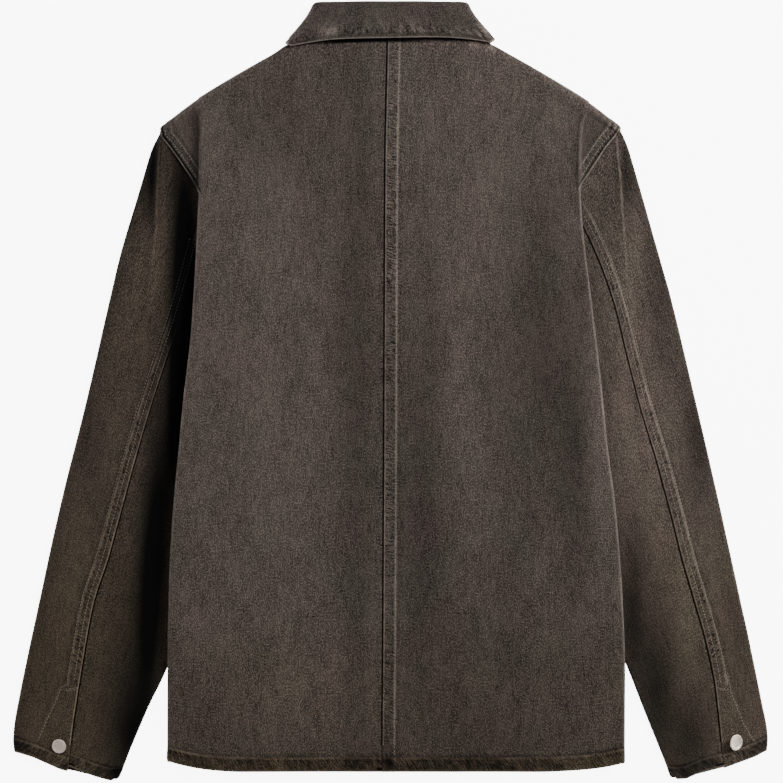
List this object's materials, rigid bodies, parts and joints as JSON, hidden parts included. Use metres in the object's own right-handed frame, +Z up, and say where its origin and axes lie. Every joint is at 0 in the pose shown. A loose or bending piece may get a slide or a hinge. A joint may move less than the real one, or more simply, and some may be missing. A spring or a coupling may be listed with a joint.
{
  "type": "denim jacket",
  "caption": "Long-sleeved denim jacket with a fold-down collar, felled centre-back seam and buttoned cuff vents, laid flat face down with its fronts closed.",
  "frame": {"origin": "middle of the bounding box, on the surface the jacket lies on", "axes": "+Z up out of the jacket's back, +Y from hem to collar, +X to the jacket's right side as seen from above"},
  "size_m": [0.757, 0.7769, 0.0246],
  "materials": {
    "denim": "washed brown-black denim, matt",
    "button_metal": "pale pewter, satin with a polished rim"
  },
  "bodies": {
    "root": {"back_left": "denim", "back_right": "denim", "front_left": "denim", "front_right": "denim", "collar_stand": "denim", "collar_fall": "denim", "sleeve_top_left": "denim", "sleeve_top_right": "denim", "sleeve_under_left": "denim", "sleeve_under_right": "denim", "cuff_button_left": "button_metal", "cuff_button_right": "button_metal", "front_button_1": "button_metal", "front_button_2": "button_metal", "front_button_3": "button_metal", "front_button_4": "button_metal", "front_button_5": "button_metal"}
  },
  "joints": []
}
